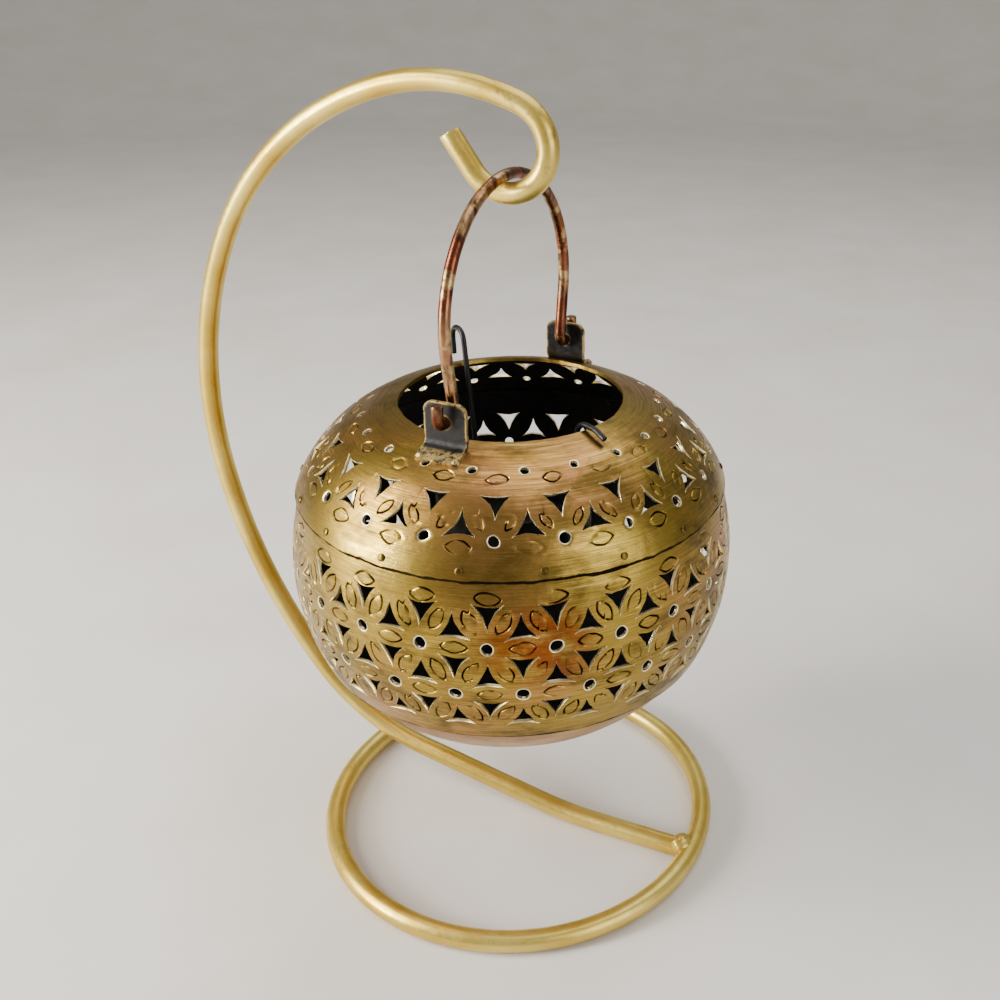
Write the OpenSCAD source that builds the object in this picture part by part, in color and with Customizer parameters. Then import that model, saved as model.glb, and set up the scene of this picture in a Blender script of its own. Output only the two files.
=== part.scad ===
// Pierced globe lantern hanging by a wire bail from a round-rod hook stand.
// Millimetres, +Z up. The origin is on the table at the centre of the base ring,
// the rod stands in the XZ plane and the lantern hangs over the origin.
// Pick a piece in "node" to draw it alone; "all" draws the whole lantern.

/* [Stand] */
// Diameter of the round rod of the ring and the hook
rod_d = 6.0; // [4:0.5:9]
// Radius of the base ring at the rod's centreline
ring_r = 57.5; // [45:0.5:80]
// Bend radius where the rod leaves the table
toe_bend_r = 115; // [60:1:200]
// Angle by which the rod rises off the table
toe_turn = 10.4; // [4:0.1:20]
// Straight run of the rod from the ring's middle to its far side
toe_run = 42; // [20:1:80]
// Bend radius at the foot of the belly
foot_bend_r = 62; // [40:1:120]
// Turn at the foot of the belly
foot_turn = 39.7; // [20:0.1:60]
// Bend radius of the belly beside the globe
belly_bend_r = 148; // [90:1:220]
// Turn of the belly
belly_turn = 28.7; // [15:0.1:45]
// Bend radius of the shoulder
shoulder_bend_r = 117; // [80:1:160]
// Turn of the shoulder
shoulder_turn = 37.6; // [20:0.1:60]
// Bend radius of the crown
crown_bend_r = 92; // [60:1:130]
// Turn of the crown
crown_turn = 47.5; // [30:0.1:70]
// Bend radius of the brow before the hook
brow_bend_r = 64.4; // [40:0.1:90]
// Turn of the brow before the hook
brow_turn = 36.8; // [20:0.1:50]
// Bend radius of the hook
hook_bend_r = 11.9; // [8:0.1:20]
// Turn of the hook past its lowest point
hook_lip_turn = 54; // [20:1:80]
// Straight end of the hook
hook_tip = 11; // [4:0.5:20]
// Gap between the rod's end and the ring, filled by the weld
weld_gap = 0.3; // [0.1:0.1:1]
// Radius of the weld bead
weld_r = 3.8; // [3.2:0.1:5]

/* [Bail] */
// Diameter of the bail's wire
bail_d = 3.2; // [2:0.1:4]
// Radius of the bail's arch at the wire's centreline
bail_arch_r = 33.5; // [28:0.5:45]
// Turn of the arch on each side, more than a quarter turn so the legs lean in
bail_arch_turn = 100; // [92:1:106]
// Straight leg below the arch
bail_leg = 13; // [8:0.5:30]
// Bend radius of the wire's feet
bail_foot_r = 2.6; // [2.2:0.1:4]
// Straight part of the foot that turns in the lug
bail_pin = 2.6; // [2:0.1:5]
// Upturned end outside the lug
bail_tip = 3; // [2:0.5:8]
// Play between the bail and the hook it hangs on
hook_play = 0.2; // [0.05:0.05:0.5]
// Radial clearance of the wire in the lug's hole
pin_clearance = 0.05; // [0.01:0.01:0.1]

/* [Globe] */
// Outside radius of the globe at its widest
globe_r = 61.9; // [50:0.1:80]
// Thickness of the sheet brass
sheet = 1.0; // [0.6:0.1:2]
// Radius of the lower shell's outline arc
bowl_arc_r = 61.9; // [50:0.1:75]
// Radius of the dome's outline arc
dome_arc_r = 38.5; // [34:0.5:50]
// Height of the dome's arc centre above the widest line
dome_arc_rise = 6.5; // [2:0.5:12]
// Height of the dome's lower edge above the widest line
seam_rise = 20.8; // [16:0.1:26]
// How far the lower shell's rim reaches up inside the dome
rim_reach = 3.4; // [2.6:0.1:3.6]
// Depth of the lower shell's edge below the widest line
bowl_drop = 26.8; // [24:0.1:30]
// How far the dish's rim reaches up inside the lower shell
dish_reach = 2.6; // [2:0.1:3]
// Radius of the dish's outline arc
dish_arc_r = 38; // [34:0.5:44]
// Depth of the flat bottom below the widest line
globe_drop = 47.2; // [44:0.1:56]
// Radius of the open mouth
mouth_r = 30.75; // [26:0.25:34]
// Gap where dome and dish lap over the lower shell
lap_gap = 0.4; // [0.1:0.05:0.6]

/* [Fretwork] */
// Flowers in each ring of the lower shell
bowl_flowers = 23; // [16:1:28]
// Flowers in each ring of the dome
dome_flowers = 20; // [14:1:24]
// Centre-to-corner size of the triangular cut-outs at the widest line
cut_corner = 4.55; // [3:0.05:5]
// Radius of the petals' sides that hollow the triangles
petal_side_r = 12; // [8:0.5:20]
// Radius of the holes at the flower centres of the lower shell
bowl_eye_r = 1.55; // [0.8:0.05:2]
// Radius of the holes at the flower centres of the dome
dome_eye_r = 1.3; // [0.8:0.05:2]
// Radius of the small holes round the collar
collar_eye_r = 1.1; // [0.6:0.05:1.6]
// Height of the lower shell's first flower ring along the sheet
first_ring = 3.5; // [0:0.1:6]
// Distance between flower rings along the sheet
ring_step = 13.8; // [12:0.1:16]
// Slope angle of the dome's flower ring
dome_ring_angle = 36.3; // [33:0.1:40]
// Slope angle of the collar's small holes
collar_ring_angle = 64.2; // [60:0.1:68]
// rise of the dome's lower triangles above its flower ring, degrees
low_triangle_rise = 4.7; // [4:0.1:6]
// rise of the dome's upper triangles above its flower ring, degrees
high_triangle_rise = 14.4; // [13:0.1:16]
// turn of the bowl's flowers, part of the space between two
bowl_phase = -0.374; // [-0.5:0.001:0.5]
// turn of the dome's flowers, part of the space between two
dome_phase = 0.278; // [-0.5:0.001:0.5]
// Rivets round the seam
rivets = 18; // [8:1:24]
// Radius of a rivet's shank
rivet_r = 0.7; // [0.4:0.05:1.2]

/* [Lugs] */
// Width of a lug plate
lug_w = 12; // [9:0.5:16]
// Thickness of a lug plate
lug_t = 1.0; // [0.8:0.1:1.6]
// Height of the bail's hole above the mouth
lug_hole_rise = 5.6; // [5:0.1:10]
// Plate left above the middle of the hole
lug_top = 5.2; // [4:0.1:8]
// Radius of the plate's top corners
lug_corner = 2.5; // [1:0.1:4]
// Length of the lug's foot along the dome
lug_foot = 6; // [4:0.5:8]
// Gap between a lug and the dome, filled with solder
solder_gap = 0.15; // [0.1:0.05:0.4]

/* [Cup] */
// Outside radius of the burner cup
cup_r = 22; // [16:0.5:25]
// Depth of the burner cup
cup_depth = 15; // [8:0.5:20]
// Thickness of the cup's wall
cup_wall = 0.8; // [0.6:0.1:1.5]
// Height of the cup's rim below the mouth
cup_sink = 28; // [24:0.5:34]
// Diameter of the hanger wire
hanger_d = 1.6; // [1.2:0.1:2]
// Direction of the front hanger, degrees round from +X
front_hanger_at = -24; // [-45:1:0]
// Direction of the back hanger, degrees round from +X
back_hanger_at = 146; // [135:1:170]
// Height of the back hanger's arch above the mouth
back_arch = 9; // [3:0.5:14]

/* [View] */
// Piece to draw

/* [Hidden] */
$fn = 48;
small_fn = 32;
rod_r = rod_d / 2;
wire_r = bail_d / 2;
hanger_r = hanger_d / 2;

// A bent bar is a list of steps: [length, 0] is straight, [bend radius, turn] is an arc.
// Turns are to the left when positive.
function step_dx(s) = s[1] == 0 ? s[0] : s[0] * sin(abs(s[1]));
function step_dy(s) = s[1] == 0 ? 0 : s[0] * (1 - cos(s[1])) * sign(s[1]);
// Where a bent bar ends, as [x, y, heading].
function bar_end(steps, n, i = 0, x = 0, y = 0, h = 0) =
    i == n ? [x, y, h] :
    bar_end(steps, n, i + 1,
            x + step_dx(steps[i]) * cos(h) - step_dy(steps[i]) * sin(h),
            y + step_dx(steps[i]) * sin(h) + step_dy(steps[i]) * cos(h),
            h + steps[i][1]);

// Stand: bends from the weld to the hook. The hook's first bend runs to its lowest point.
rise_steps = [[toe_bend_r, -toe_turn], [toe_run, 0], [foot_bend_r, -foot_turn],
              [belly_bend_r, -belly_turn], [shoulder_bend_r, -shoulder_turn],
              [crown_bend_r, -crown_turn], [brow_bend_r, -brow_turn]];
risen = bar_end(rise_steps, len(rise_steps))[2];
hook_turn = 360 + risen;
hook_steps = concat(rise_steps, [[hook_bend_r, -hook_turn / 2], [hook_bend_r, -hook_turn / 2]]);
hook_low = bar_end(hook_steps, len(hook_steps));
rod_start = ring_r - rod_r - weld_gap;
toe_straight = rod_start - hook_low[0];
rod_steps = concat([[toe_straight, 0]], hook_steps, [[hook_bend_r, -hook_lip_turn], [hook_tip, 0]]);
hook_low_z = rod_r - hook_low[1];

// Bail: one side from the top of the arch to the upturned end.
bail_steps = [[bail_arch_r, -bail_arch_turn], [bail_leg, 0], [bail_foot_r, bail_arch_turn],
              [bail_pin, 0], [bail_foot_r, 90], [bail_tip, 0]];
bail_top_z = hook_low_z + rod_r + hook_play + wire_r;
bail_foot = bar_end(bail_steps, 3);
pin_z = bail_top_z + bail_foot[1];
lug_y = bail_foot[0] + bail_pin / 2;

// Globe outline: arc centres and heights, measured from the widest line.
bowl_arc_c = globe_r - bowl_arc_r;
function bowl_radius(z, r = bowl_arc_r) = bowl_arc_c + sqrt(r * r - z * z);
dome_arc_c = bowl_radius(seam_rise) + lap_gap + sheet
             - sqrt(pow(dome_arc_r, 2) - pow(seam_rise - dome_arc_rise, 2));
function dome_height(r) = dome_arc_rise + sqrt(pow(dome_arc_r, 2) - pow(r - dome_arc_c, 2));
mouth_rise = dome_height(mouth_r);
globe_z = pin_z - lug_hole_rise - mouth_rise;
dish_arc_z = dish_arc_r - globe_drop;
dish_arc_c = bowl_radius(-bowl_drop, bowl_arc_r - sheet) - lap_gap / 2
             - sqrt(pow(dish_arc_r, 2) - pow(bowl_drop + dish_arc_z, 2));
mouth_z = globe_z + mouth_rise;

// Cup and its hangers.
cup_rim_z = mouth_z - cup_sink;
cup_floor_z = cup_rim_z - cup_depth;
elbow_r = 3.4;
join_inset = 0.05;
join_swell = 0.03;
join_length = 0.4;
over_gap = 0.3;
rivet_phase = 0.25;
rivet_lift = 0.4;
shank_in = 2.6 * sheet;
shank_length = 2.8 * sheet;

// Round bar bent through the steps, starting at the origin along +X in the XY plane.
// A short sleeve a hair thicker than the bar joins each piece to the next.
module bent_bar(r, steps, i = 0, joined = false) {
    if (i < len(steps)) {
        hair = i == 0 && !joined ? 0 : join_inset;
        if (steps[i][1] == 0) {
            translate([hair, 0, 0]) rotate([0, 90, 0])
                cylinder(h = steps[i][0] - hair - (i == len(steps) - 1 ? 0 : join_inset), r = r);
        } else {
            side = sign(steps[i][1]);
            cut = join_inset / steps[i][0] * 180 / PI;
            arc = abs(steps[i][1]) - 2 * cut;
            translate([0, side * steps[i][0], 0])
                rotate([0, 0, side > 0 ? cut - 90 : 90 - cut - arc])
                    rotate_extrude(angle = arc) translate([steps[i][0], 0]) circle(r);
        }
        if (i > 0 || joined) rotate([0, 90, 0])
            cylinder(h = join_length, r = r + join_swell, center = true);
        translate([step_dx(steps[i]), step_dy(steps[i]), 0])
            rotate([0, 0, steps[i][1]]) bent_bar(r, steps, i + 1);
    }
}

// Ring of sheet between two heights, cut from an arc of the globe's outline.
module arc_band(c, centre_z, r, low, high, inner) {
    rotate_extrude($fn = 96) intersection() {
        translate([c, centre_z]) difference() {
            circle(r, $fn = 192);
            circle(r - sheet, $fn = 192);
        }
        translate([inner, low]) square([2 * globe_r, high - low]);
    }
}

// Triangle with hollowed sides, its corners at the given distance from the middle, one along +X.
module fret_triangle(corner) {
    half_side = corner * sin(60);
    reach = corner / 2 + sqrt(pow(petal_side_r, 2) - pow(half_side, 2));
    difference() {
        circle(corner * 1.1, $fn = 3);
        for (a = [60, 180, 300]) rotate(a) translate([reach, 0]) circle(petal_side_r, $fn = 96);
    }
}

// Places a cutter on the outline: arc centre c and height z, arc radius r, slope angle, turn round Z.
// The drawing's +X points down the sheet.
module on_sheet(c, z, r, slope, turn) {
    rotate([0, 0, turn]) translate([c + r * cos(slope), 0, z + r * sin(slope)])
        rotate([0, 90 - slope, 0]) children();
}

// One ring of triangular cut-outs round the globe.
module triangle_ring(c, z, r, slope, count, phase, up) {
    size = cut_corner * (c + r * cos(slope)) * sin(180 / count)
           / (globe_r * sin(180 / bowl_flowers));
    for (i = [0:count - 1]) on_sheet(c, z, r, slope, (i + phase) * 360 / count)
        rotate([0, 0, up ? 180 : 0])
            linear_extrude(height = 5 * sheet, center = true) fret_triangle(min(size, cut_corner));
}

// One ring of round holes at the flower centres.
module eye_ring(c, z, r, slope, count, phase, eye) {
    for (i = [0:count - 1]) on_sheet(c, z, r, slope, (i + phase) * 360 / count)
        cylinder(h = 5 * sheet, r = eye, center = true, $fn = small_fn);
}

// Slope angle at a distance along the lower shell's sheet from the widest line.
function bowl_slope(s) = s / bowl_arc_r * 180 / PI;

module base_ring() {
    color("#C8A84B") translate([0, 0, rod_r])
        rotate_extrude($fn = 96) translate([ring_r, 0]) circle(rod_r);
}

module hook_rod() {
    color("#C8A84B") translate([rod_start, 0, rod_r]) rotate([-90, 0, 180])
        bent_bar(rod_r, rod_steps);
}

module base_weld() {
    color("#A8893A") translate([ring_r - rod_r, 0, weld_r]) sphere(weld_r);
}

module bail() {
    arch_drop = bail_arch_r * (1 - cos(bail_arch_turn));
    cut = join_inset / bail_arch_r * 180 / PI;
    arch_half = bail_arch_turn - cut;
    legs = [for (i = [1:len(bail_steps) - 1]) bail_steps[i]];
    color("#B0713F") {
        translate([0, 0, bail_top_z - bail_arch_r]) rotate([90, 0, 90])
            rotate([0, 0, 90 - arch_half]) rotate_extrude(angle = 2 * arch_half)
                translate([bail_arch_r, 0]) circle(wire_r);
        for (side = [0, 180]) rotate([0, 0, side])
            translate([0, bail_arch_r * sin(bail_arch_turn), bail_top_z - arch_drop])
                rotate([90, 0, 90]) rotate([0, 0, -bail_arch_turn])
                    bent_bar(wire_r, legs, 0, true);
    }
}

module dome_shell() {
    color("#B79A52") translate([0, 0, globe_z]) difference() {
        arc_band(dome_arc_c, dome_arc_rise, dome_arc_r, seam_rise, 2 * globe_r, mouth_r);
        eye_ring(dome_arc_c, dome_arc_rise, dome_arc_r, dome_ring_angle, dome_flowers,
                 dome_phase, dome_eye_r);
        eye_ring(dome_arc_c, dome_arc_rise, dome_arc_r, collar_ring_angle, dome_flowers,
                 dome_phase + 0.5, collar_eye_r);
        triangle_ring(dome_arc_c, dome_arc_rise, dome_arc_r, dome_ring_angle + low_triangle_rise,
                      dome_flowers, dome_phase + 0.5, true);
        triangle_ring(dome_arc_c, dome_arc_rise, dome_arc_r, dome_ring_angle + high_triangle_rise,
                      dome_flowers, dome_phase, false);
        rivet_row(rivet_r);
    }
}

module bowl_shell() {
    color("#B79A52") translate([0, 0, globe_z]) difference() {
        arc_band(bowl_arc_c, 0, bowl_arc_r, -bowl_drop, seam_rise + rim_reach, bowl_arc_c);
        for (ring = [0, 1]) eye_ring(bowl_arc_c, 0, bowl_arc_r,
            bowl_slope(first_ring - ring * ring_step), bowl_flowers, bowl_phase + ring / 2, bowl_eye_r);
        for (band = [0:2]) {
            low = first_ring + (1 - band) * ring_step;
            triangle_ring(bowl_arc_c, 0, bowl_arc_r, bowl_slope(low - ring_step * 1 / 3),
                          bowl_flowers, bowl_phase + band / 2, false);
            triangle_ring(bowl_arc_c, 0, bowl_arc_r, bowl_slope(low - ring_step * 2 / 3),
                          bowl_flowers, bowl_phase + (band + 1) / 2, true);
        }
        rivet_row(rivet_r);
    }
}

module bottom_dish() {
    color("#C79B78") translate([0, 0, globe_z]) {
        arc_band(dish_arc_c, dish_arc_z, dish_arc_r, -globe_drop, dish_reach - bowl_drop, dish_arc_c);
        translate([0, 0, -globe_drop]) cylinder(h = sheet, r = dish_arc_c, $fn = 96);
    }
}

// Shanks of the seam rivets, half way up the lap.
module rivet_row(r) {
    rise = seam_rise + rim_reach / 2 + rivet_lift;
    slope = asin((rise - dome_arc_rise) / dome_arc_r);
    for (i = [0:rivets - 1])
        on_sheet(dome_arc_c, dome_arc_rise, dome_arc_r - sheet, slope, (i + rivet_phase) * 360 / rivets)
            cylinder(h = 4.4 * sheet, r = r, center = true, $fn = small_fn);
}

module seam_rivets() {
    rise = seam_rise + rim_reach / 2 + rivet_lift;
    slope = asin((rise - dome_arc_rise) / dome_arc_r);
    color("#A8893A") translate([0, 0, globe_z]) for (i = [0:rivets - 1])
        on_sheet(dome_arc_c, dome_arc_rise, dome_arc_r, slope, (i + rivet_phase) * 360 / rivets) {
            translate([0, 0, -shank_in])
                cylinder(h = shank_length, r = rivet_r - 0.02, $fn = small_fn);
            translate([0, 0, 0.08]) cylinder(h = 0.35, r1 = rivet_r * 1.5, r2 = rivet_r, $fn = small_fn);
        }
}

// Front outline of a lug: a plate with rounded top corners, its foot end cut square.
function lug_outline(low) = concat([[lug_w / 2, low]],
    [for (a = [0:15:90]) [lug_w / 2 - lug_corner + lug_corner * cos(a),
                          lug_top - lug_corner + lug_corner * sin(a)]],
    [for (a = [90:15:180]) [lug_corner - lug_w / 2 + lug_corner * cos(a),
                            lug_top - lug_corner + lug_corner * sin(a)]],
    [[-lug_w / 2, low]]);

// One lug, folded from sheet: an upright plate with the bail's hole, and a foot down the dome.
module lug() {
    foot_mid = lug_y + lug_foot / 2;
    s = asin((foot_mid - dome_arc_c) / dome_arc_r);
    base = globe_z + dome_height(foot_mid) + (lug_foot + lug_t) / 2 * tan(s) + solder_gap - pin_z;
    inner = (lug_t - lug_t * sin(s)) / cos(s);
    fold = [[-lug_t / 2, lug_top], [-lug_t / 2, base],
            [lug_foot * cos(s) - lug_t / 2, base - lug_foot * sin(s)],
            [lug_foot * cos(s) + lug_t * (sin(s) - 0.5), base - lug_foot * sin(s) + lug_t * cos(s)],
            [lug_t / 2, base + lug_t * cos(s) - inner * sin(s)], [lug_t / 2, lug_top]];
    difference() {
        intersection() {
            rotate([90, 0, 90]) linear_extrude(height = 2 * lug_w, center = true) polygon(fold);
            rotate([90, 0, 0]) linear_extrude(height = 6 * lug_foot, center = true)
                polygon(lug_outline(-2 * lug_w));
        }
        rotate([90, 0, 0]) cylinder(h = 4 * lug_t, r = wire_r + pin_clearance, center = true);
    }
}

module lug_front() {
    color("#3A3530") rotate([0, 0, 180]) translate([0, lug_y, pin_z]) lug();
}

module lug_back() {
    color("#3A3530") translate([0, lug_y, pin_z]) lug();
}

module lug_solder() {
    foot_y = lug_y + lug_foot * 0.75;
    color("#BFA56A") for (side = [0, 180]) rotate([0, 0, side]) for (s = [-1, 1])
        translate([s * (lug_w / 2 - 1), foot_y, globe_z + dome_height(foot_y) - 0.4])
            sphere(1.5, $fn = small_fn);
}

module burner_cup() {
    color("#2A2622") translate([0, 0, cup_floor_z]) difference() {
        cylinder(h = cup_depth, r = cup_r, $fn = 96);
        translate([0, 0, cup_wall]) cylinder(h = cup_depth, r = cup_r - cup_wall, $fn = 96);
    }
}

// One hanger: up from the cup's wall, leaning out, over the mouth's edge and down outside.
module hanger(arch, over, drop_r, drop_turn, tail) {
    start_r = cup_r + hanger_r - 0.15;
    lean = atan((mouth_r - 3 - start_r) / cup_sink);
    leg = (cup_sink + over_gap + hanger_r + arch - elbow_r * sin(lean)
           - elbow_r * (1 - sin(lean))) / cos(lean);
    steps = [[cup_depth * 0.7, 0], [elbow_r, -lean], [leg, 0], [elbow_r, lean - 90],
             [over, 0], [drop_r, -drop_turn], [tail, 0]];
    translate([start_r, 0, cup_rim_z - cup_depth * 0.7])
        rotate([90, 0, 0]) rotate([0, 0, 90]) bent_bar(hanger_r, steps);
}

module cup_hooks() {
    color("#2A2622") {
        rotate([0, 0, front_hanger_at]) hanger(0, 2.5, 5, 22, 3);
        rotate([0, 0, back_hanger_at]) hanger(back_arch, 0.5, elbow_r, 95, 5);
    }
}

base_ring();
hook_rod();
base_weld();
bail();
dome_shell();
bowl_shell();
bottom_dish();
lug_front();
lug_back();
lug_solder();
seam_rivets();
burner_cup();
cup_hooks();
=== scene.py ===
"""Looks of a pierced globe lantern on a hook stand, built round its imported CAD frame.

Run as a script it registers one operator for each piece, builds the piece on its CAD body and
sets the stage. Sizes inside the builders are millimetres; MM turns them into scene metres.
"""

import math

import bpy
import numpy as np
from mathutils import Matrix, Vector, geometry, kdtree


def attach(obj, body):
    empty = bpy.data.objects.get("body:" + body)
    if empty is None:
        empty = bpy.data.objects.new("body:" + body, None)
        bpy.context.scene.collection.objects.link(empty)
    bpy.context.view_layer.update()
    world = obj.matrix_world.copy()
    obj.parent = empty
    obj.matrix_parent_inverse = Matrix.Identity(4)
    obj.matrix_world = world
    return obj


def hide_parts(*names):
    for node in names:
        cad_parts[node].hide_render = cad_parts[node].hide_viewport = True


bl_info = {
    "name": "Pierced globe lantern",
    "version": (1, 0, 0),
    "blender": (4, 5, 0),
    "location": "View3D > Sidebar > Lantern",
    "description": "Builds the looks of a pierced brass globe lantern on a hook stand",
    "category": "Object",
}

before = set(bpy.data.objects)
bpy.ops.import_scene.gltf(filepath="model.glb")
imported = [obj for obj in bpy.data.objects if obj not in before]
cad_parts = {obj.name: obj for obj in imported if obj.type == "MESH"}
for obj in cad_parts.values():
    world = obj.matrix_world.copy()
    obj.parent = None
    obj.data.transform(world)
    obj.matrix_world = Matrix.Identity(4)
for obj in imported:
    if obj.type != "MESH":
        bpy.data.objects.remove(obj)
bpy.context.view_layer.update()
MM = 0.001

# Bend schedule of the stand's rod in millimetres and degrees, from the ring to the tip.
ROD_BENDS = ((27.4, 0), (115, 10.4), (42, 0), (62, 39.7), (148, 28.7), (117, 37.6), (92, 47.5),
             (64.4, 36.8), (11.9, 159.3), (11.9, 54), (11, 0))
HOOK_LOW = 197.44
PIN_HEIGHT = 147.07
GLOBE_HEIGHT = 97.07
# Revolved arcs as (centre's distance from the axis, centre's height over the widest line, radius).
DOME_ARC = (23.955, 6.5, 38.5)
BOWL_ARC = (0.0, 0.0, 61.9)
DISH_ARC = (20.81, -9.2, 38.0)
# Radius at which the dome's pattern is laid out flat.
DOME_REACH = 52.0
DISH_FLOOR = -47.2
LUG_REACH = 34.594
CUP_RIM = 113.47
# The bowl's upper flower ring, and the drop from ring to ring.
FIRST_RING = 3.5
RING_DROP = 13.8


# ---------------------------------------------------------------- settings


class LanternStand(bpy.types.PropertyGroup):
    """Sizes of the ring base and the hook rod."""

    ring_radius: bpy.props.FloatProperty(
        name="Ring radius", description="Ring radius at the middle of the rod",
        default=0.0575, subtype="DISTANCE", unit="LENGTH")
    rod_radius: bpy.props.FloatProperty(
        name="Rod radius", description="Radius of the round rod",
        default=0.003, subtype="DISTANCE", unit="LENGTH")
    unevenness: bpy.props.FloatProperty(
        name="Unevenness", description="Depth of the hammer marks on the rod",
        default=0.00004, precision=5, subtype="DISTANCE", unit="LENGTH")


class LanternShell(bpy.types.PropertyGroup):
    """Sizes of the pierced globe."""

    sheet: bpy.props.FloatProperty(
        name="Sheet", description="Thickness of the sheet",
        default=0.001, subtype="DISTANCE", unit="LENGTH")
    bowl_flowers: bpy.props.IntProperty(
        name="Bowl flowers", description="Flowers in a ring of the lower shell", default=23)
    dome_flowers: bpy.props.IntProperty(
        name="Dome flowers", description="Flowers in the ring of the dome", default=20)
    cut_corner: bpy.props.FloatProperty(
        name="Cut-out size", description="Middle to corner of a triangular cut-out",
        default=0.0047, precision=5, subtype="DISTANCE", unit="LENGTH")
    petal_side: bpy.props.FloatProperty(
        name="Petal side", description="Radius of the petals' sides",
        default=0.012, subtype="DISTANCE", unit="LENGTH")
    groove_depth: bpy.props.FloatProperty(
        name="Groove depth", description="Depth of the chased petal outlines",
        default=0.00042, precision=5, subtype="DISTANCE", unit="LENGTH")
    hand: bpy.props.FloatProperty(
        name="Hand work", description="How far the cut-outs stray from the pattern",
        default=0.00022, precision=5, subtype="DISTANCE", unit="LENGTH")


class LanternWire(bpy.types.PropertyGroup):
    """Sizes of the bail, the lugs and the cup's hooks."""

    bail_radius: bpy.props.FloatProperty(
        name="Bail wire", description="Radius of the bail's wire",
        default=0.0016, precision=4, subtype="DISTANCE", unit="LENGTH")
    lug_width: bpy.props.FloatProperty(
        name="Lug width", description="Width of a lug plate",
        default=0.012, subtype="DISTANCE", unit="LENGTH")
    hanger_radius: bpy.props.FloatProperty(
        name="Hanger wire", description="Radius of the cup's hook wire",
        default=0.0008, precision=4, subtype="DISTANCE", unit="LENGTH")


class LanternStage(bpy.types.PropertyGroup):
    """Floor, lights and camera."""

    key_power: bpy.props.FloatProperty(
        name="Key", description="Power of the big window light", default=10.0, unit="POWER")
    fill_power: bpy.props.FloatProperty(
        name="Fill", description="Power of the fill light", default=3.5, unit="POWER")
    glint_power: bpy.props.FloatProperty(
        name="Glint", description="Power of the small panel that lights the dome's left side",
        default=7.0, unit="POWER")
    lens: bpy.props.FloatProperty(
        name="Lens", description="Focal length of the camera", default=43.1, unit="CAMERA")


# ---------------------------------------------------------------- mesh helpers


def wobble(points, scale, seed):
    """Smooth signed unevenness between about -1 and 1.

    Sum of six sine waves in random directions, each wave about as long as scale (mm).
    """
    rng = np.random.default_rng(seed)
    total = np.zeros(len(points))
    for _ in range(6):
        way = rng.normal(size=3)
        way *= 2 * math.pi / (scale * rng.uniform(0.6, 1.6) * np.linalg.norm(way))
        total += np.sin(points @ way + rng.uniform(0, 6.28))
    return total / 3.5


def mesh_object(name, points, polygons, body, materials, slots=None, values=None, angle=38.0):
    """A mesh object in the row frame from points in mm and arrays of polygons.

    slots holds a material index for each array of polygons; values maps names of point
    attributes to arrays.
    """
    mesh = bpy.data.meshes.new(name)
    polygons = [np.asarray(p, int) for p in polygons if len(p)]
    loops = np.concatenate([p.ravel() for p in polygons])
    sizes = np.concatenate([np.full(len(p), p.shape[1]) for p in polygons])
    mesh.vertices.add(len(points))
    mesh.vertices.foreach_set("co", (np.asarray(points) * MM).astype(np.float32).ravel())
    mesh.loops.add(len(loops))
    mesh.loops.foreach_set("vertex_index", loops.astype(np.int32))
    mesh.polygons.add(len(sizes))
    mesh.polygons.foreach_set("loop_start", np.concatenate([[0], np.cumsum(sizes)[:-1]]).astype(np.int32))
    if slots:
        index = np.concatenate([np.full(len(p), s) for p, s in zip(polygons, slots)])
        mesh.polygons.foreach_set("material_index", index.astype(np.int32))
    mesh.update(calc_edges=True)
    mesh.polygons.foreach_set("use_smooth", np.ones(len(sizes), bool))
    mesh.set_sharp_from_angle(angle=math.radians(angle))
    for key, array in (values or {}).items():
        layer = mesh.attributes.new(key, "FLOAT", "POINT")
        layer.data.foreach_set("value", np.asarray(array, np.float32))
    for material in materials:
        mesh.materials.append(material)
    obj = bpy.data.objects.new(name, mesh)
    bpy.context.scene.collection.objects.link(obj)
    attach(obj, body)
    return obj


def trace(bends, step):
    """Points along a bar bent through (length or radius, turn) steps, from 0 along +x, turning up.

    A straight step moves along the heading; an arc turns the heading by turn degrees while it
    moves along a circle of that radius. Returns x, y and the distance run.
    """
    x, y, heading, run = 0.0, 0.0, 0.0, 0.0
    out = [(0.0, 0.0, 0.0)]
    for size, turn in bends:
        length = size if turn == 0 else size * math.radians(abs(turn))
        count = max(2, int(math.ceil(length / step)))
        for _ in range(count):
            half = math.radians(turn) / count / 2
            chord = length / count if turn == 0 else 2 * size * abs(math.sin(half))
            x += chord * math.cos(heading + half)
            y += chord * math.sin(heading + half)
            heading += 2 * half
            run += length / count
            out.append((x, y, run))
    return np.array(out)


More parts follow.
